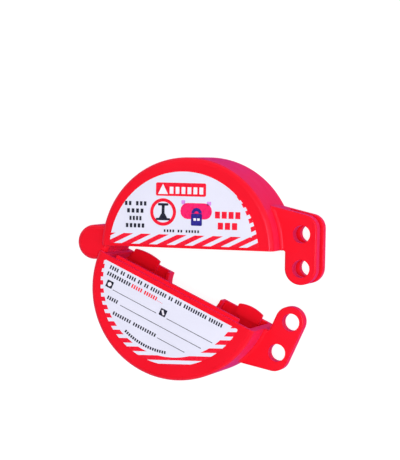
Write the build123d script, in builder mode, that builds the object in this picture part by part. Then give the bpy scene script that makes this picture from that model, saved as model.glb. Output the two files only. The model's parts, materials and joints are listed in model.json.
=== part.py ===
"""Gate valve lockout: two half-drum shells hinged on a pin, with padlock ears.

Millimetres, +Z up. The drum lies on its back wall: Z is the drum's own axis, the
label side faces up, the ears point to +X and the hinge is on the -X side. The
origin is on the drum's axis at the back face, in the middle of the stem opening
of the upper shell. The lower shell is modelled swung open by open_angle.
"""

import os
from math import cos, radians, sin

from build123d import *

os.makedirs("parts", exist_ok=True)

# ---------------------------------------------------------------- drum
drum_radius = 41.0
drum_depth = 33.5
rim_wall = 2.8
face_wall = 2.5  # thickness of the front wall and of the back wall
front_round = 2.2
back_round = 1.0
inner_round = 1.2
parting_gap = 0.15  # each shell stops this far short of the closing plane
parting_round = 0.25  # edges of the cut where the two shells meet
overlap = 0.3  # how far joined features run into each other

stem_radius = 13.7
collar_wall = 1.5
collar_height = 4.0  # above the back wall's inner face
collar_foot_round = 0.6
collar_lip_round = 0.4

inner_radius = drum_radius - rim_wall
front_inside = drum_depth - face_wall
root_radius = drum_radius - rim_wall / 2  # where ears and webs join the rim

# ---------------------------------------------------------------- hinge
hinge_x = -46.1
hinge_y = 1.35
knuckle_radius = 7.9
knuckle_gap = 0.25  # axial gap between two knuckles, and to the walls
relief_clearance = 0.3  # radial gap round the other shell's knuckles
boss_wall = 1.8  # wall left inside the rim behind a relief
front_knuckle_round = 2.2
rear_knuckle_round = 1.5
knuckle_edge = 0.4
web_fillet = 2.0

knuckle_bottom = face_wall + knuckle_gap
knuckle_top = front_inside - knuckle_gap
knuckle_span = (knuckle_top - knuckle_bottom - 2 * knuckle_gap) / 3
middle_bottom = knuckle_bottom + knuckle_span + knuckle_gap
middle_top = middle_bottom + knuckle_span
relief_radius = knuckle_radius + relief_clearance
boss_radius = relief_radius + boss_wall

# ---------------------------------------------------------------- hinge pin
pin_radius = 2.0
pin_running_gap = 0.05
pin_head_radius = 3.4
pin_head_height = 1.2
pin_head_round = 0.4
pin_point = 0.5
pin_tip_gap = 0.25
counterbore_gap = 0.25
counterbore_depth = 1.4

bore_end = knuckle_top - 2.6  # the front knuckle's bore is blind
pin_seat = knuckle_bottom + counterbore_depth
pin_tip = bore_end - pin_tip_gap

# ---------------------------------------------------------------- padlock ears
ear_inner_x = 43.0
fork_outer_x = 57.6
plate_outer_x = 56.6
ear_corner_y = 15.25
ear_corner_round = 6.5
ear_root_x = 30.0  # where the ear's long side would end if it ran on inside the drum
ear_root_y = 21.4
crotch_round = 0.8
hole_x = 50.55
hole_y = 7.7
hole_radius = 4.0
edge_round = 0.7
ear_blend = 1.5  # concave corner between the ear's front and the rim

fork_bottom = 6.1
fork_top = 22.0
plate_bottom = 10.5
plate_top = 16.05
slot_gap = 0.4  # to each side of the single plate inside the fork
slot_inner_x = 41.9
slot_edge_round = 0.4

slot_bottom = plate_bottom - slot_gap
slot_top = plate_top + slot_gap

# ---------------------------------------------------------------- tongues and pips of the lower shell
tongue_wall = 1.5
tongue_gap = 0.2
tongue_depth = 3.0  # how far a tongue reaches back under its own wall
tongue_round = 0.4
front_tongue = (-32.8, 32.0, 1.3, 0)  # from x, to x, rise past the closing plane, crown of its edge
rear_tongues = ((-34.9, -21.3, 2.0, 0.9), (22.0, 34.6, 1.9, 1.2))
pip_places = (-21.5, -1.4, 17.4)
pip_radius = 0.45
pip_height = 0.22
pip_inset = 0.75

# ---------------------------------------------------------------- labels
label_radius = 35.5
label_thickness = 0.15
label_middle_x = -1.15
label_drop = 0.9  # the sticker's round edge is centred this far past the closing plane
label_corner = 0.6
upper_label_edge = 1.5  # distance of the straight edge from the closing plane
lower_label_edge = 2.45

# ---------------------------------------------------------------- frames
open_angle = 24.2


def swung(x, y):
    """A point of the closed lower shell, after it has swung open."""
    turn = radians(-open_angle)
    dx = x - hinge_x
    dy = y - hinge_y
    return (hinge_x + dx * cos(turn) - dy * sin(turn), hinge_y + dx * sin(turn) + dy * cos(turn))


upper_frame = Plane.XY
lower_frame = Plane(
    origin=(*swung(0, 0), 0),
    x_dir=(cos(radians(open_angle)), -sin(radians(open_angle)), 0),
    z_dir=(0, 0, 1),
)
hinge_axis = Axis((hinge_x, hinge_y, 0), (0, 0, 1))
hinge_section = Plane(origin=(hinge_x, hinge_y, 0), x_dir=(1, 0, 0), z_dir=(0, -1, 0))


# ---------------------------------------------------------------- shared shapes
# side is 1 for the upper shell, on +Y of the closing plane, and -1 for the lower one


def drum_half(frame, side):
    """Hollow half-drum: both walls, rim and stem collar, with its edges rounded."""
    section = (
        (stem_radius, 0, 0),
        (drum_radius, 0, back_round),
        (drum_radius, drum_depth, front_round),
        (0, drum_depth, 0),
        (0, front_inside, 0),
        (inner_radius, front_inside, inner_round),
        (inner_radius, face_wall, inner_round),
        (stem_radius + collar_wall, face_wall, collar_foot_round),
        (stem_radius + collar_wall, face_wall + collar_height, collar_lip_round),
        (stem_radius, face_wall + collar_height, collar_lip_round),
    )
    with BuildPart() as half:
        with BuildSketch(Plane(origin=frame.origin, x_dir=frame.x_dir, z_dir=-frame.y_dir)):
            with BuildLine():
                corners = [(radius, height) for radius, height, _ in section]
                FilletPolyline(*corners, radius=[r for _, _, r in section], close=True)
            make_face()
        revolve(axis=Axis(frame.origin, frame.z_dir), revolution_arc=180 * side)
        with BuildSketch(frame):
            Rectangle(3 * drum_radius, 2 * parting_gap)
        extrude(amount=drum_depth, mode=Mode.SUBTRACT)
        cut = half.faces().filter_by(Axis(frame.origin, frame.y_dir))
        fillet(cut.edges(), parting_round)
    return half.part


def hinge_boss(frame, side):
    """Thick column inside the rim, so that the reliefs for the knuckles don't break through."""
    with BuildSketch(frame.offset(face_wall - overlap)) as column:
        with Locations((hinge_x, hinge_y)):
            Circle(boss_radius)
        Circle(root_radius, mode=Mode.INTERSECT)
        with Locations((hinge_x, side * (parting_gap + boss_radius))):
            Rectangle(2 * boss_radius, 2 * boss_radius, mode=Mode.INTERSECT)
    extrude(column.sketch, amount=front_inside - face_wall + 2 * overlap)


def hinge_cylinder(radius, bottom, top):
    """Round hole or recess about the hinge axis."""
    with BuildSketch(Plane.XY.offset(bottom)) as room:
        with Locations((hinge_x, hinge_y)):
            Circle(radius)
    extrude(room.sketch, amount=top - bottom, mode=Mode.SUBTRACT)


def hinge_web(frame, side, bottom, top):
    """Web between a knuckle and its own shell's rim, with a concave corner at the rim."""
    web_end = hinge_y + side * knuckle_radius
    with BuildSketch(frame.offset(bottom)) as profile:
        Circle(drum_radius)
        with Locations((hinge_x / 2, web_end / 2)):
            Rectangle(-hinge_x, abs(web_end))
        fillet(profile.vertices().sort_by_distance((-drum_radius, web_end))[:1], web_fillet)
        with Locations((hinge_x / 2, side * (parting_gap + knuckle_radius))):
            Rectangle(-hinge_x, 2 * knuckle_radius, mode=Mode.INTERSECT)
    extrude(profile.sketch, amount=top - bottom)


def web_rim(edges):
    """The free edges of a hinge web of the upper shell, on one level."""
    return edges.filter_by(lambda edge: edge.center().X < -inner_radius and edge.center().Y > knuckle_radius)


def hollow_root(frame):
    """Clear the inside of the drum before its walls are added."""
    with BuildSketch(frame) as inside:
        Circle(root_radius)
    extrude(inside.sketch, amount=drum_depth, mode=Mode.SUBTRACT)


def knuckle(bottom, top, bottom_round, top_round):
    """Round barrel of the hinge."""
    with BuildSketch(hinge_section) as barrel:
        with BuildLine():
            FilletPolyline(
                (0, bottom),
                (knuckle_radius, bottom),
                (knuckle_radius, top),
                (0, top),
                radius=(0, bottom_round, top_round, 0),
                close=True,
            )
        make_face()
    revolve(barrel.sketch, axis=hinge_axis)


def ear(frame, side, outer_x, bottom, top):
    """Padlock ear, from inside the rim to its round end past the closing plane."""
    end_radius = (outer_x - ear_inner_x) / 2
    corners = (
        (ear_root_x, side * parting_gap, 0),
        (ear_inner_x, side * parting_gap, crotch_round),
        (ear_inner_x, -side * hole_y, 0),
        (outer_x, -side * hole_y, 0),
        (outer_x, side * ear_corner_y, ear_corner_round),
        (ear_root_x, side * ear_root_y, 0),
    )
    with BuildSketch(frame.offset(bottom)) as outline:
        with BuildLine():
            FilletPolyline(*[(x, y) for x, y, _ in corners], radius=[r for _, _, r in corners], close=True)
        make_face()
        Circle(root_radius, mode=Mode.SUBTRACT)
        with Locations((ear_inner_x + end_radius, -side * hole_y)):
            Circle(end_radius)
    extrude(outline.sketch, amount=top - bottom)


def flat_ends(shell):
    """Edges of the lowest and the highest flat face of the ear, before the drum is added."""
    ear_faces = shell.faces().filter_by(Axis.Z).filter_by(lambda face: face.center().X > 0).sort_by(Axis.Z)
    return ear_faces[0].edges() + ear_faces[-1].edges()


def ear_corner(shell, top):
    """The arc where the ear's front face meets the rim."""
    arcs = shell.edges().filter_by(GeomType.CIRCLE).group_by(lambda edge: abs(edge.radius - drum_radius))[0]
    return arcs.filter_by(lambda edge: abs(edge.center().Z - top) < parting_gap)


def padlock_holes(frame):
    """The two padlock holes of an ear."""
    with BuildSketch(frame) as drill:
        with Locations((hole_x, hole_y), (hole_x, -hole_y)):
            Circle(hole_radius)
    extrude(drill.sketch, amount=drum_depth, mode=Mode.SUBTRACT)


def tongue(from_x, to_x, rise, crown, bottom, root_bottom, root_top):
    """A lip of the lower shell that laps behind the upper shell's wall when closed."""
    middle_x = (from_x + to_x) / 2
    with BuildSketch(lower_frame.offset(bottom)) as lip:
        with BuildLine():
            Polyline((from_x, rise), (from_x, -tongue_depth), (to_x, -tongue_depth), (to_x, rise))
            if crown:
                ThreePointArc((to_x, rise), (middle_x, rise + crown), (from_x, rise))
            else:
                Line((to_x, rise), (from_x, rise))
        make_face()
        fillet(lip.vertices().group_by(Axis.Y)[-1], tongue_round)
    extrude(lip.sketch, amount=tongue_wall)
    with BuildSketch(lower_frame.offset(root_bottom)) as root:
        with Locations((middle_x, -(tongue_depth + parting_gap) / 2)):
            Rectangle(to_x - from_x, tongue_depth - parting_gap)
    extrude(root.sketch, amount=root_top - root_bottom)


def label(frame, side, edge):
    """Die-cut sticker: a disc segment on the front face, with softened corners."""
    with BuildSketch(frame.offset(drum_depth)) as outline:
        with Locations((label_middle_x, -side * label_drop)):
            Circle(label_radius)
        with Locations((0, side * (edge + label_radius))):
            Rectangle(3 * label_radius, 2 * label_radius, mode=Mode.INTERSECT)
        fillet(outline.vertices(), label_corner)
    extrude(outline.sketch, amount=label_thickness)


# ---------------------------------------------------------------- upper shell
upper_half = drum_half(upper_frame, 1)

with BuildPart() as upper_shell:
    # rear and front knuckle, each with its web to the rim
    hinge_web(upper_frame, 1, knuckle_bottom, middle_bottom - knuckle_gap)
    fillet(web_rim(upper_shell.edges().group_by(Axis.Z)[0]), rear_knuckle_round)
    hinge_web(upper_frame, 1, middle_top + knuckle_gap, knuckle_top)
    fillet(web_rim(upper_shell.edges().group_by(Axis.Z)[-1]), front_knuckle_round)
    hollow_root(upper_frame)
    knuckle(knuckle_bottom, middle_bottom - knuckle_gap, rear_knuckle_round, knuckle_edge)
    knuckle(middle_top + knuckle_gap, knuckle_top, knuckle_edge, front_knuckle_round)

    # forked ear, slotted to take the lower shell's plate
    ear(upper_frame, 1, fork_outer_x, fork_bottom, fork_top)
    fillet(flat_ends(upper_shell), edge_round)
    with BuildSketch(upper_frame.offset(slot_bottom)):
        with Locations((slot_inner_x + drum_radius / 2, 0)):
            Rectangle(drum_radius, 2 * drum_radius)
    extrude(amount=slot_top - slot_bottom, mode=Mode.SUBTRACT)
    slot_walls = upper_shell.faces().filter_by(Axis.Z).filter_by(
        lambda face: face.center().X > slot_inner_x and fork_bottom < face.center().Z < fork_top
    )
    outer_edges = slot_walls.edges().filter_by(lambda edge: edge.center().X > slot_inner_x + overlap)
    fillet(outer_edges, slot_edge_round)
    padlock_holes(upper_frame)

    # drum, with room for the lower shell's knuckle
    add(upper_half)
    fillet(ear_corner(upper_shell, fork_top), ear_blend)
    hinge_boss(upper_frame, 1)
    hinge_cylinder(relief_radius, middle_bottom - knuckle_gap, middle_top + knuckle_gap)

    # pin hole, blind at the front, with a counterbore for the head at the back
    hinge_cylinder(pin_radius, knuckle_bottom, bore_end)
    hinge_cylinder(pin_head_radius + counterbore_gap, knuckle_bottom, pin_seat)

upper_shell.part.label = "upper_shell"
export_step(upper_shell.part, "parts/upper_shell.step")

# ---------------------------------------------------------------- lower shell
lower_half = drum_half(lower_frame, -1)

with BuildPart() as lower_shell:
    # middle knuckle, with its web to the rim
    hinge_web(lower_frame, -1, middle_bottom, middle_top)
    hollow_root(lower_frame)
    knuckle(middle_bottom, middle_top, knuckle_edge, knuckle_edge)

    # single-plate ear
    ear(lower_frame, -1, plate_outer_x, plate_bottom, plate_top)
    fillet(flat_ends(lower_shell), edge_round)
    padlock_holes(lower_frame)

    # drum, with room for the upper shell's knuckles
    add(lower_half)
    fillet(ear_corner(lower_shell, plate_top), ear_blend)
    hinge_boss(lower_frame, -1)
    hinge_cylinder(relief_radius, face_wall, middle_bottom)
    hinge_cylinder(relief_radius, middle_top, front_inside)
    hinge_cylinder(pin_radius + pin_running_gap, middle_bottom, middle_top)

    # tongues that lap behind the upper shell's front and back walls
    front_lap = front_inside - tongue_gap - tongue_wall
    tongue(*front_tongue, front_lap, front_lap, front_inside + overlap)
    rear_lap = face_wall + tongue_gap
    for rear_tongue in rear_tongues:
        tongue(*rear_tongue, rear_lap, face_wall - overlap, rear_lap + tongue_wall)

    # three small pips along the front edge
    with BuildSketch(lower_frame.offset(drum_depth - overlap)):
        with Locations(*[(x, -pip_inset) for x in pip_places]):
            Circle(pip_radius)
    extrude(amount=overlap + pip_height)

lower_shell.part.label = "lower_shell"
export_step(lower_shell.part, "parts/lower_shell.step")

# ---------------------------------------------------------------- hinge pin
with BuildPart() as hinge_pin:
    with BuildSketch(hinge_section):
        with BuildLine():
            FilletPolyline(
                (0, pin_seat - pin_head_height),
                (pin_head_radius, pin_seat - pin_head_height),
                (pin_head_radius, pin_seat),
                (pin_radius, pin_seat),
                (pin_radius, pin_tip - pin_point),
                (pin_radius - pin_point, pin_tip),
                (0, pin_tip),
                radius=(0, pin_head_round, 0, 0, 0, 0, 0),
                close=True,
            )
        make_face()
    revolve(axis=hinge_axis)

hinge_pin.part.label = "hinge_pin"
export_step(hinge_pin.part, "parts/hinge_pin.step")

# ---------------------------------------------------------------- labels
with BuildPart() as upper_label:
    label(upper_frame, 1, upper_label_edge)

upper_label.part.label = "upper_label"
export_step(upper_label.part, "parts/upper_label.step")

with BuildPart() as lower_label:
    label(lower_frame, -1, lower_label_edge)

lower_label.part.label = "lower_label"
export_step(lower_label.part, "parts/lower_label.step")
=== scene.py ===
"""Looks of the gate valve lockout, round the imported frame: materials, printed labels and studio.

Metres, in the frame's axes: the drum lies on its back wall and its labelled front looks up.
The label artwork is laid out in millimetres on the closed drum's front, x towards the ears
and y towards the top. The lower label's share then swings open with the lower shell.
"""

import json
from math import cos, radians, sin, sqrt

import bmesh
import bpy
from mathutils import Matrix, Vector


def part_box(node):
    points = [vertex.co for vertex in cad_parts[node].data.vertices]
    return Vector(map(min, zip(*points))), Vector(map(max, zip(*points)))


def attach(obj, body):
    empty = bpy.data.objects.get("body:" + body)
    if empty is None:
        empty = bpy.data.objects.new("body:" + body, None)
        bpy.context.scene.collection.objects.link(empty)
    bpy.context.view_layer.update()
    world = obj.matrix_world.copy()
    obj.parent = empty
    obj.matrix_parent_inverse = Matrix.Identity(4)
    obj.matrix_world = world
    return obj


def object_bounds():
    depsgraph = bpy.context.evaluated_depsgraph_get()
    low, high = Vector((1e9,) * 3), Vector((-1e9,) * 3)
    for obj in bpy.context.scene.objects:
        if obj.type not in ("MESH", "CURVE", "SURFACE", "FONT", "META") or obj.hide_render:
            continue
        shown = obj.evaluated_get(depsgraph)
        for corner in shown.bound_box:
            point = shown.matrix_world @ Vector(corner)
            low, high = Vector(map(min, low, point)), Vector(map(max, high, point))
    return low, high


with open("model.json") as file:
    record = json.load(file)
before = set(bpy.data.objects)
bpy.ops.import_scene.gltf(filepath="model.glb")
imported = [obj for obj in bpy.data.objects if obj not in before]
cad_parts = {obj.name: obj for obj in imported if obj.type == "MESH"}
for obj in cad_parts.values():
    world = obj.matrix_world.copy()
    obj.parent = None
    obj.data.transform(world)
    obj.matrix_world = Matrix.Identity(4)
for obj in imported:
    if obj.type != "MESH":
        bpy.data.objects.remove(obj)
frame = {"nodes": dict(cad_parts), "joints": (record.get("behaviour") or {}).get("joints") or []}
cad_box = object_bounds()

MM = 0.001
nodes = frame["nodes"]
hinge = frame["joints"][0]

UPPER = "upper_shell_body"
LOWER = "lower_shell_body"


# ---------------------------------------------------------------- materials


def tree_of(name):
    """A new material, its node tree, its shader and its object coordinates."""
    material = bpy.data.materials.new(name)
    material.use_nodes = True
    tree = material.node_tree
    shader = tree.nodes["Principled BSDF"]
    place = tree.nodes.new("ShaderNodeTexCoord").outputs["Object"]
    return material, tree, shader, place


def noise(tree, place, scale, detail=2.0, stretch=None):
    """Noise between 0 and 1; scale is in features per metre."""
    if stretch:
        mapping = tree.nodes.new("ShaderNodeMapping")
        mapping.inputs["Scale"].default_value = stretch
        tree.links.new(place, mapping.inputs["Vector"])
        place = mapping.outputs["Vector"]
    node = tree.nodes.new("ShaderNodeTexNoise")
    node.inputs["Scale"].default_value = scale
    node.inputs["Detail"].default_value = detail
    tree.links.new(place, node.inputs["Vector"])
    return node.outputs["Fac"]


def ramp(tree, factor, stops):
    """Colour along a factor, from (position, colour) stops."""
    node = tree.nodes.new("ShaderNodeValToRGB")
    elements = node.color_ramp.elements
    while len(elements) < len(stops):
        elements.new(0.5)
    for element, (position, colour) in zip(elements, stops):
        element.position = position
        element.color = (*colour, 1)
    tree.links.new(factor, node.inputs["Fac"])
    return node.outputs["Color"]


def spread(tree, factor, low, high):
    """A factor that runs from 0.3 to 0.7 stretched to run from low to high."""
    node = tree.nodes.new("ShaderNodeMapRange")
    node.inputs["From Min"].default_value = 0.3
    node.inputs["From Max"].default_value = 0.7
    node.inputs["To Min"].default_value = low
    node.inputs["To Max"].default_value = high
    tree.links.new(factor, node.inputs["Value"])
    return node.outputs["Result"]


def bump(tree, shader, height, depth):
    """Relief of the given depth in metres, over any relief that the shader already has."""
    node = tree.nodes.new("ShaderNodeBump")
    node.inputs["Strength"].default_value = 1.0
    node.inputs["Distance"].default_value = depth
    tree.links.new(height, node.inputs["Height"])
    earlier = shader.inputs["Normal"].links
    if earlier:
        tree.links.new(earlier[0].from_socket, node.inputs["Normal"])
    tree.links.new(node.outputs["Normal"], shader.inputs["Normal"])


def moulded_red():
    """Glossy injection-moulded safety red, with faint flow marks, orange peel and fine grain."""
    material, tree, shader, place = tree_of("moulded_red")
    flow = noise(tree, place, scale=38, detail=3, stretch=(1.0, 1.0, 2.2))
    tint = ramp(tree, flow, [(0.3, (0.77, 0.004, 0.014)), (0.7, (0.83, 0.006, 0.019))])
    tree.links.new(tint, shader.inputs["Base Color"])
    polish = noise(tree, place, scale=130, detail=1)
    tree.links.new(spread(tree, polish, low=0.28, high=0.35), shader.inputs["Roughness"])
    orange_peel = noise(tree, place, scale=230, detail=1)
    bump(tree, shader, orange_peel, depth=0.00003)
    grain = noise(tree, place, scale=2600, detail=1)
    bump(tree, shader, grain, depth=0.000002)
    shader.inputs["Specular IOR Level"].default_value = 0.22
    shader.inputs["Specular Tint"].default_value = (1.0, 0.45, 0.75, 1)
    shader.inputs["Sheen Weight"].default_value = 0.14
    shader.inputs["Sheen Roughness"].default_value = 0.45
    shader.inputs["Sheen Tint"].default_value = (0.9, 0.12, 0.85, 1)
    return material


def zinc_steel():
    """Zinc-plated steel with fine turning marks round the pin."""
    material, tree, shader, place = tree_of("zinc_steel")
    cloud = noise(tree, place, scale=300, detail=3)
    tint = ramp(tree, cloud, [(0.3, (0.52, 0.53, 0.55)), (0.7, (0.66, 0.66, 0.67))])
    tree.links.new(tint, shader.inputs["Base Color"])
    marks = noise(tree, place, scale=900, detail=2, stretch=(0.4, 0.4, 8.0))
    tree.links.new(spread(tree, marks, low=0.22, high=0.42), shader.inputs["Roughness"])
    bump(tree, shader, marks, depth=0.00001)
    shader.inputs["Metallic"].default_value = 1.0
    return material


def white_vinyl():
    """Semi-gloss sticker film, faintly blue-white, with a soft unevenness under it."""
    material, tree, shader, place = tree_of("white_vinyl")
    cloud = noise(tree, place, scale=60, detail=3)
    tint = ramp(tree, cloud, [(0.3, (0.69, 0.69, 0.81)), (0.7, (0.72, 0.72, 0.84))])
    tree.links.new(tint, shader.inputs["Base Color"])
    grain = noise(tree, place, scale=700, detail=3)
    tree.links.new(spread(tree, grain, low=0.30, high=0.40), shader.inputs["Roughness"])
    unevenness = noise(tree, place, scale=160, detail=2)
    bump(tree, shader, unevenness, depth=0.00005)
    shader.inputs["Specular IOR Level"].default_value = 0.4
    return material


def printing_ink(name, colour, unevenness=0.12):
    """Ink printed on the film: its colour varies a little with how thickly it lies."""
    material, tree, shader, place = tree_of(name)
    thin = [min(1.0, c * (1 + unevenness) + 0.02 * unevenness) for c in colour]
    thick = [c * (1 - unevenness) for c in colour]
    coverage = noise(tree, place, scale=900, detail=4)
    tint = ramp(tree, coverage, [(0.35, thick), (0.65, thin)])
    tree.links.new(tint, shader.inputs["Base Color"])
    tree.links.new(spread(tree, coverage, low=0.32, high=0.42), shader.inputs["Roughness"])
    bump(tree, shader, coverage, depth=0.000004)
    shader.inputs["Specular IOR Level"].default_value = 0.15
    return material


def put_on(obj, material):
    """Give the object this one material."""
    obj.data.materials.clear()
    obj.data.materials.append(material)


shell_red = moulded_red()
vinyl = white_vinyl()
inks = {
    "red": printing_ink("ink_red", (0.80, 0.006, 0.03)),
    "black": printing_ink("ink_black", (0.012, 0.012, 0.028), unevenness=0.3),
    "white": printing_ink("ink_white", (0.80, 0.76, 0.84), unevenness=0.03),
    "pink": printing_ink("ink_pink", (0.86, 0.012, 0.13)),
    "lilac": printing_ink("ink_lilac", (0.62, 0.25, 0.72)),
    "navy": printing_ink("ink_navy", (0.02, 0.015, 0.22), unevenness=0.2),
}

for node in ("upper_shell", "lower_shell"):
    put_on(nodes[node], shell_red)
for node in ("upper_label", "lower_label"):
    put_on(nodes[node], vinyl)
put_on(nodes["hinge_pin"], zinc_steel())


# ---------------------------------------------------------------- artwork shapes
# a shape is a list of loops of (x, y) points in millimetres: an outline and at most one hole


def arc(cx, cy, radius, start, end, steps=12):
    """Points along a circle's arc, from start to end in degrees."""
    turns = [radians(start + (end - start) * i / steps) for i in range(steps + 1)]
    return [(cx + radius * cos(t), cy + radius * sin(t)) for t in turns]


def block(x0, x1, y0, y1, corner=0.0):
    """Upright rectangle, with rounded corners if corner is given."""
    if not corner:
        return [[(x0, y0), (x1, y0), (x1, y1), (x0, y1)]]
    centres = ((x1, y0, -90), (x1, y1, 0), (x0, y1, 90), (x0, y0, 180))
    outline = []
    for x, y, start in centres:
        cx = x - corner if x == x1 else x + corner
        cy = y - corner if y == y1 else y + corner
        outline += arc(cx, cy, corner, start, start + 90, 4)
    return [outline]


def circle(cx, cy, radius, points):
    """Whole circle, with no point given twice."""
    return arc(cx, cy, radius, 0, 360 * (points - 1) / points, points - 1)


def disc(cx, cy, radius):
    """Round spot."""
    return [circle(cx, cy, radius, 24)]


def ring(cx, cy, outer, inner):
    """Round band: an outline and a hole with the same number of points."""
    return [circle(cx, cy, radius, 60) for radius in (outer, inner)]


WORD_SPACE = 0.8  # in blocks


def blocks(x0, x1, y, height, words, gap=0.3):
    """A line of plain blocks in place of lettering: words gives the number of blocks in each word."""
    pitches = sum(words) + WORD_SPACE * (len(words) - 1)
    pitch = (x1 - x0) / (pitches - gap)
    shapes = []
    x = x0
    for count in words:
        for _ in range(count):
            shapes.append(block(x, x + pitch * (1 - gap), y - height / 2, y + height / 2))
            x += pitch
        x += WORD_SPACE * pitch
    return shapes


# ---------------------------------------------------------------- hazard border
# slanted stripes fill each label outside a circle, and in a band above the upper label's
# straight edge; the circle is a little off centre on the sticker

STRIPE_TURN = radians(26)
STRIPE_PITCH = 3.75
RED_SHARE = 0.55  # red part of the pitch
STRIPES_EACH_WAY = 14  # enough to reach past the label on both sides
BORDER_X, BORDER_Y, BORDER_RADIUS = -2.4, 2.55, 33.8
BAND_TOP = 6.15
EDGE_STEPS = 20  # points along each end of a stripe
NUDGE = 0.002  # how close to a turn of the outline its two extra points lie

low_corner, high_corner = (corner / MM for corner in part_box("upper_label"))
LABEL_DROP = 0.9  # a label's round edge is centred this far past the closing plane
LABEL_X = (low_corner.x + high_corner.x) / 2
LABEL_RADIUS = high_corner.y + LABEL_DROP
UPPER_EDGE = low_corner.y
BLEED = 0.04  # how far the stripes run over the film's round edge
SHORTEST = 0.25  # shorter stretches of stripe are left out


def row_of(x, y):
    """Distance across the stripes of the stripe line through a point."""
    return y * cos(STRIPE_TURN) - x * sin(STRIPE_TURN)


def chord(q, cx, cy, radius):
    """Where the stripe line at distance q crosses a circle, along the line; None if it doesn't."""
    along = cx * cos(STRIPE_TURN) + cy * sin(STRIPE_TURN)
    across = q - row_of(cx, cy)
    if abs(across) >= radius:
        return None
    half = sqrt(radius**2 - across**2)
    return along - half, along + half


def level(q, y):
    """Where the stripe line at distance q crosses height y, along the line."""
    return (y - q * cos(STRIPE_TURN)) / sin(STRIPE_TURN)


def on_stripe(s, q):
    """The point at distance s along the stripes and q across them."""
    return (s * cos(STRIPE_TURN) - q * sin(STRIPE_TURN), s * sin(STRIPE_TURN) + q * cos(STRIPE_TURN))


def border_spans(q, side, edge):
    """The two stretches of the stripe line at distance q that lie in the hazard border."""
    whole = chord(q, LABEL_X, -side * LABEL_DROP, LABEL_RADIUS + BLEED)
    if not whole:
        return None
    low, high = whole
    inside = chord(q, BORDER_X, BORDER_Y, BORDER_RADIUS)
    if side > 0:
        low = max(low, level(q, edge))
        if inside:
            inside = max(inside[0], level(q, BAND_TOP)), inside[1]
    else:
        high = min(high, level(q, -edge))
    if high <= low:
        return None
    if not inside or inside[0] >= inside[1]:
        return (low, high), (high, high)
    return (low, min(high, max(low, inside[0]))), (max(low, min(high, inside[1])), high)


def turning_rows(side):
    """Stripe lines just before and after those where the border's outline turns."""
    inner = row_of(BORDER_X, BORDER_Y)
    outer = row_of(LABEL_X, -side * LABEL_DROP)
    reach = sqrt(BORDER_RADIUS**2 - (BAND_TOP - BORDER_Y) ** 2)
    turns = [inner + turn for turn in (-BORDER_RADIUS, BORDER_RADIUS)]
    turns += [outer + turn for turn in (-LABEL_RADIUS - BLEED, LABEL_RADIUS + BLEED)]
    turns += [row_of(BORDER_X + x, BAND_TOP) for x in (-reach, reach)]
    return [q + nudge for q in turns for nudge in (-NUDGE, NUDGE)]


def hazard_border(side, edge, phase):
    """Red stripes of the hazard border on one label: side is 1 on the upper one and -1 on the lower."""
    shapes = []
    for stripe in range(-STRIPES_EACH_WAY, STRIPES_EACH_WAY + 1):
        middle = phase + (stripe + 0.5) * STRIPE_PITCH
        half = RED_SHARE * STRIPE_PITCH / 2
        rows = [middle - half + 2 * half * i / EDGE_STEPS for i in range(EDGE_STEPS + 1)]
        rows = sorted([*rows, *[q for q in turning_rows(side) if abs(q - middle) < half]])
        for end in (0, 1):
            run = []
            for q in [*rows, None]:
                spans = border_spans(q, side, edge) if q is not None else None
                if spans and spans[end][1] - spans[end][0] > SHORTEST:
                    run.append((q, *spans[end]))
                    continue
                if len(run) > 1:
                    first = [on_stripe(high, at) for at, _, high in run]
                    back = [on_stripe(low, at) for at, low, _ in reversed(run)]
                    shapes.append([first + back])
                run = []
    return shapes


# ---------------------------------------------------------------- artwork of the upper label


def valve_mark(x, y):
    """Plain valve: wheel, stem, body and base."""
    return [
        block(x - 2.5, x + 2.5, y + 3.0, y + 4.1, 0.4),
        block(x - 0.7, x + 0.7, y - 0.6, y + 3.0),
        [[(x - 2.0, y - 2.6), (x + 2.0, y - 2.6), (x + 0.9, y - 0.6), (x - 0.9, y - 0.6)]],
        block(x - 3.4, x + 3.4, y - 3.6, y - 2.6, 0.3),
    ]


def padlock_mark(x, y):
    """Plain padlock: body and shackle."""
    shackle = arc(x, y + 2.6, 2.5, 0, 180) + arc(x, y + 2.6, 1.0, 180, 0)
    return [block(x - 2.6, x + 2.6, y - 2.9, y + 2.5, 0.5), [shackle]]


upper_art = {
    "red": [
        *hazard_border(1, UPPER_EDGE, phase=0.68),
        block(-14.5, 9.4, 23.5, 29.5, 0.8),
        ring(-10.9, 16.2, 6.2, 4.7),
        *blocks(13.8, 25.7, 15.6, 3.1, (4,), 0.26),
        *blocks(15.2, 24.3, 10.7, 3.1, (3,), 0.26),
    ],
    "white": [
        [[(-13.5, 24.3), (-8.7, 24.3), (-11.1, 28.9)]],
        *blocks(-7.9, 8.1, 26.1, 3.1, (6,), 0.36),
        *blocks(3.7, 6.6, 13.3, 1.1, (2,), 0.3),
    ],
    "black": [
        *blocks(-29.4, -19.0, 19.8, 1.9, (2, 3), 0.38),
        *blocks(-28.3, -20.4, 16.5, 1.9, (4,), 0.38),
        *blocks(-27.1, -21.3, 13.1, 1.9, (4,), 0.38),
        *blocks(-28.8, -19.9, 9.8, 1.9, (5,), 0.38),
        *blocks(-10.4, 6.4, 7.85, 1.2, (4, 2, 5), 0.4),
        *valve_mark(-10.9, 16.1),
    ],
    "pink": [block(-2.6, 12.3, 13.4, 20.6, 3.4)],
    "lilac": [block(-2.2, -0.4, 20.0, 21.8, 0.3), block(9.9, 11.9, 19.7, 21.4, 0.3)],
    "navy": padlock_mark(5.1, 13.4),
}

# ---------------------------------------------------------------- artwork of the lower label

LOWER_EDGE = 2.45
RULE_WIDTH = 0.28


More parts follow.
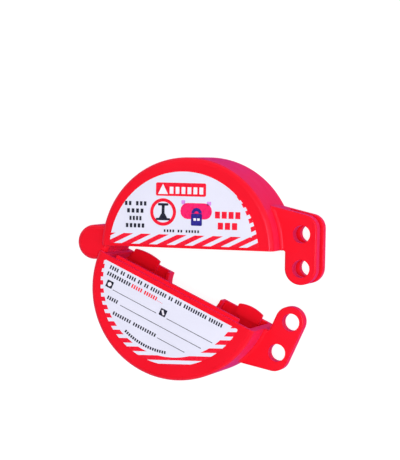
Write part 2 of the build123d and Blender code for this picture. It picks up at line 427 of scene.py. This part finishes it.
def arched_blocks(cx, cy, radius, start, end, height, count, gap=0.35):
    """A line of plain blocks along an arc, from start to end in degrees."""
    step = (end - start) / count
    shapes = []
    for i in range(count):
        first = start + i * step
        last = first + step * (1 - gap)
        outer = arc(cx, cy, radius + height, first, last, 1)
        inner = arc(cx, cy, radius, last, first, 1)
        shapes.append([outer + inner])
    return shapes


def write_in(x0, x1, y):
    """Thin rule to write on."""
    return block(x0, x1, y - RULE_WIDTH / 2, y + RULE_WIDTH / 2)


lower_art = {
    "red": [
        *hazard_border(-1, LOWER_EDGE, phase=1.25),
        *blocks(-19.5, -6.1, -7.5, 1.8, (5, 6), 0.4),
        *[block(x, x + 0.35, -8.3, -8.0) for x in (-5.6, -4.8, -4.0, -3.2)],
    ],
    "black": [
        *blocks(-32.6, 26.9, -4.4, 1.8, (4, 2, 4, 2, 2, 7, 2, 3, 10, 6), 0.42),
        *blocks(-32.6, -20.4, -7.5, 1.8, (10,), 0.42),
        block(-31.1, -27.8, -13.4, -10.1, 0.3),
        block(-2.4, 0.9, -13.4, -10.1, 0.3),
        write_in(-26.9, -3.6, -13.4),
        write_in(1.9, 26.0, -13.4),
        *blocks(-27.9, -22.5, -17.5, 1.7, (5,), 0.42),
        write_in(-20.8, 22.2, -18.1),
        *blocks(-22.4, 0.4, -22.8, 1.6, (8, 10), 0.42),
        write_in(1.6, 16.0, -23.3),
        *arched_blocks(-2.6, 5.4, 34.0, -108.6, -71.4, 1.3, 19),
    ],
    "white": [
        disc(-29.45, -11.75, 0.95),
        [[(-1.8, -11.1), (-1.1, -10.6), (0.3, -12.4), (-0.4, -12.9)]],
    ],
}

# ---------------------------------------------------------------- printing
# each colour on a label is one piece: thin closed slabs of ink that lie on the film

INK_BITE = 0.01  # how deep the ink's underside lies in what it is printed on
INK_HEIGHT = 0.03
# navy lies over pink, and white over navy, so white is a hair above the red and black under it
LAYERS = {"red": 0, "black": 0, "pink": 0, "lilac": 0, "navy": 1, "white": 2}


def slab(bm, loops, bottom, top):
    """Closed slab from height bottom to height top, in millimetres."""
    decks = []
    for z in (bottom, top):
        decks.append([[bm.verts.new((x, y, z)) for x, y in loop] for loop in loops])
    for low, high in zip(*decks):
        for i in range(len(low)):
            j = (i + 1) % len(low)
            bm.faces.new((low[i], low[j], high[j], high[i]))
    for deck in decks:
        if len(deck) == 1:
            bm.faces.new(deck[0])
            continue
        outer, hole = deck
        for i in range(len(outer)):
            j = (i + 1) % len(outer)
            bm.faces.new((outer[i], outer[j], hole[j], hole[i]))


def print_on(name, label, body, colour, shapes, place):
    """One colour's slabs on a label, as a piece that rides with the label's shell."""
    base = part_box(label)[1].z / MM - INK_BITE + LAYERS[colour] * (INK_HEIGHT - INK_BITE)
    bm = bmesh.new()
    for loops in shapes:
        slab(bm, loops, base, base + INK_HEIGHT)
    bmesh.ops.recalc_face_normals(bm, faces=bm.faces)
    many_sided = [face for face in bm.faces if len(face.verts) > 4]
    bmesh.ops.triangulate(bm, faces=many_sided, ngon_method="EAR_CLIP")
    mesh = bpy.data.meshes.new(name)
    bm.to_mesh(mesh)
    bm.free()
    mesh.transform(place @ Matrix.Scale(MM, 4))
    piece = bpy.data.objects.new(name, mesh)
    bpy.context.scene.collection.objects.link(piece)
    put_on(piece, inks[colour])
    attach(piece, body)


# the closing limit is as far from rest as the lower shell stands open at rest
hinge_at = Vector(hinge["pos_m"])
opened = -radians(hinge["range_deg"][1])
swing = Matrix.Translation(hinge_at) @ Matrix.Rotation(opened, 4, "Z") @ Matrix.Translation(-hinge_at)

for colour, shapes in upper_art.items():
    print_on(f"upper_print_{colour}", "upper_label", UPPER, colour, shapes, Matrix.Identity(4))
for colour, shapes in lower_art.items():
    print_on(f"lower_print_{colour}", "lower_label", LOWER, colour, shapes, swing)


# ---------------------------------------------------------------- floor


def pale_floor():
    """Softly lit white board with a trace of paper grain: it glows, so that shadows stay faint."""
    material, tree, shader, place = tree_of("pale_floor")
    grain = noise(tree, place, scale=30, detail=3)
    tint = ramp(tree, grain, [(0.3, (0.25, 0.25, 0.25)), (0.7, (0.27, 0.27, 0.27))])
    tree.links.new(tint, shader.inputs["Base Color"])
    shader.inputs["Roughness"].default_value = 0.9
    shader.inputs["Specular IOR Level"].default_value = 0.1
    shader.inputs["Emission Color"].default_value = (1, 1, 1, 1)
    shader.inputs["Emission Strength"].default_value = 0.85
    return material


FLOOR_SIZE = 40.0
FLOOR_DROP = 0.0002  # keeps the floor clear of the back walls
floor_mesh = bpy.data.meshes.new("floor")
bm = bmesh.new()
bmesh.ops.create_grid(bm, x_segments=8, y_segments=8, size=FLOOR_SIZE / 2)
bm.to_mesh(floor_mesh)
bm.free()
floor = bpy.data.objects.new("floor", floor_mesh)
floor.location.z = cad_box[0].z - FLOOR_DROP
bpy.context.scene.collection.objects.link(floor)
floor.visible_glossy = False
put_on(floor, pale_floor())


# ---------------------------------------------------------------- light


def soft_light(name, place, aim, size, watts, colour):
    """Square softbox at a place, facing a point."""
    light = bpy.data.lights.new(name, "AREA")
    light.shape = "SQUARE"
    light.size = size
    light.energy = watts
    light.color = colour
    obj = bpy.data.objects.new(name, light)
    obj.location = place
    obj.rotation_mode = "QUATERNION"
    obj.rotation_quaternion = (Vector(aim) - Vector(place)).to_track_quat("-Z", "Y")
    bpy.context.scene.collection.objects.link(obj)


middle = (cad_box[0] + cad_box[1]) / 2
soft_light("key", (-0.35, 0.55, 0.95), middle, size=0.7, watts=1.0, colour=(1.0, 0.98, 0.97))
soft_light("fill", (0.9, 0.1, 0.6), middle, size=0.8, watts=4.0, colour=(0.96, 0.95, 1.0))
soft_light("front", (0.3, 0.0, 0.95), middle, size=0.35, watts=5.8, colour=(1.0, 1.0, 1.0))

# from straight down (0) to straight up (1): violet far below the floor, where only the gloss
# of upright walls picks it up, white round the horizon and grey overhead
STUDIO_STOPS = [
    (0.30, (0.27, 0.02, 0.25)),
    (0.45, (1, 1, 1)),
    (0.55, (1, 1, 1)),
    (0.75, (0.34, 0.34, 0.35)),
]
world = bpy.data.worlds.new("studio")
world.use_nodes = True
sky = world.node_tree
direction = sky.nodes.new("ShaderNodeTexCoord").outputs["Generated"]
split = sky.nodes.new("ShaderNodeSeparateXYZ")
sky.links.new(direction, split.inputs["Vector"])
climb = sky.nodes.new("ShaderNodeMapRange")
climb.inputs["From Min"].default_value = -1
sky.links.new(split.outputs["Z"], climb.inputs["Value"])
background = sky.nodes["Background"]
sky.links.new(ramp(sky, climb.outputs["Result"], STUDIO_STOPS), background.inputs["Color"])
bpy.context.scene.world = world

# ---------------------------------------------------------------- camera
# looks down on the labelled face, a little from the ears' side, with the drum's top up

CAMERA_SIDE = radians(19.42)
CAMERA_RISE = radians(2.63)
CAMERA_ROLL = radians(1.04)
CAMERA_DISTANCE = 0.8078
CAMERA_AIM = Vector((0.9, 7.85, 16.75)) * MM
CAMERA_LENS = 138.4
SENSOR_WIDTH = 36
CLIP_START = 0.01

toward = Vector(
    (sin(CAMERA_SIDE) * cos(CAMERA_RISE), sin(CAMERA_RISE), cos(CAMERA_SIDE) * cos(CAMERA_RISE))
)
up = (Vector((0, 1, 0)) - toward * toward.y).normalized()
up = Matrix.Rotation(CAMERA_ROLL, 3, toward) @ up
right = up.cross(toward)

camera_data = bpy.data.cameras.new("camera")
camera_data.lens = CAMERA_LENS
camera_data.sensor_width = SENSOR_WIDTH
camera_data.clip_start = CLIP_START
camera = bpy.data.objects.new("camera", camera_data)
axes = Matrix((right, up, toward)).transposed().to_4x4()
camera.matrix_world = Matrix.Translation(CAMERA_AIM + toward * CAMERA_DISTANCE) @ axes
bpy.context.scene.collection.objects.link(camera)
bpy.context.scene.camera = camera
bpy.context.scene.view_settings.view_transform = "Standard"
